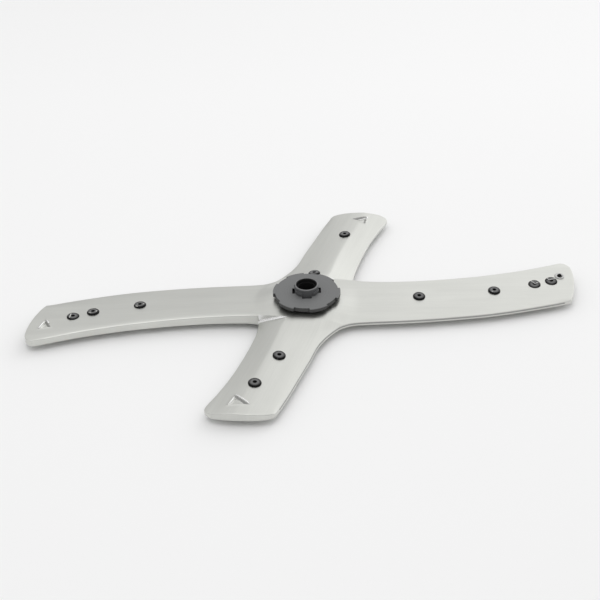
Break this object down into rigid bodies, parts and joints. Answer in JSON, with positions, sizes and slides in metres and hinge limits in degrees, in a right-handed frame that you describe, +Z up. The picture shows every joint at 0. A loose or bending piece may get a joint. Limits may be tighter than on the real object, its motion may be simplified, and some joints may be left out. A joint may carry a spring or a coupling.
{
  "type": "dishwasher spray arm",
  "caption": "Four-armed pressed-steel spray arm with plastic jets and a lobed hub nut with a water neck that turns in the arm.",
  "frame": {"origin": "on the hub axis, at the flat underside that the arm stands on", "axes": "+X along the long arms, +Y towards the short arm that points away in the picture, +Z up along the hub axis"},
  "size_m": [0.4572, 0.294, 0.0276],
  "materials": {
    "sheet": "brushed stainless steel sheet with fine streaks along the arms",
    "eyelet": "plain stainless steel",
    "jet": "near-black moulded plastic",
    "nut": "mid-grey moulded plastic with faint turning marks",
    "neck": "dark grey moulded plastic",
    "bearing": "natural bearing plastic"
  },
  "bodies": {
    "arm": {"upper_shell": "sheet", "lower_shell": "sheet", "jet_right_1": "jet", "jet_right_2": "jet", "jet_right_3": "jet", "jet_right_4": "jet", "eyelet": "eyelet", "jet_left_1": "jet", "jet_left_2": "jet", "jet_left_3": "jet", "jet_back_1": "jet", "jet_back_2": "jet", "jet_front_1": "jet", "jet_front_2": "jet", "bearing_bush": "bearing", "thrust_washer": "bearing"},
    "hub": {"lobed_nut": "nut", "neck": "neck", "retaining_ring": "neck"}
  },
  "joints": [
    {"name": "hub_spin", "type": "hinge", "parent": "arm", "child": "hub", "pos_m": [0, 0, 0.015], "axis": [0, 0, 1], "continuous": true}
  ]
}
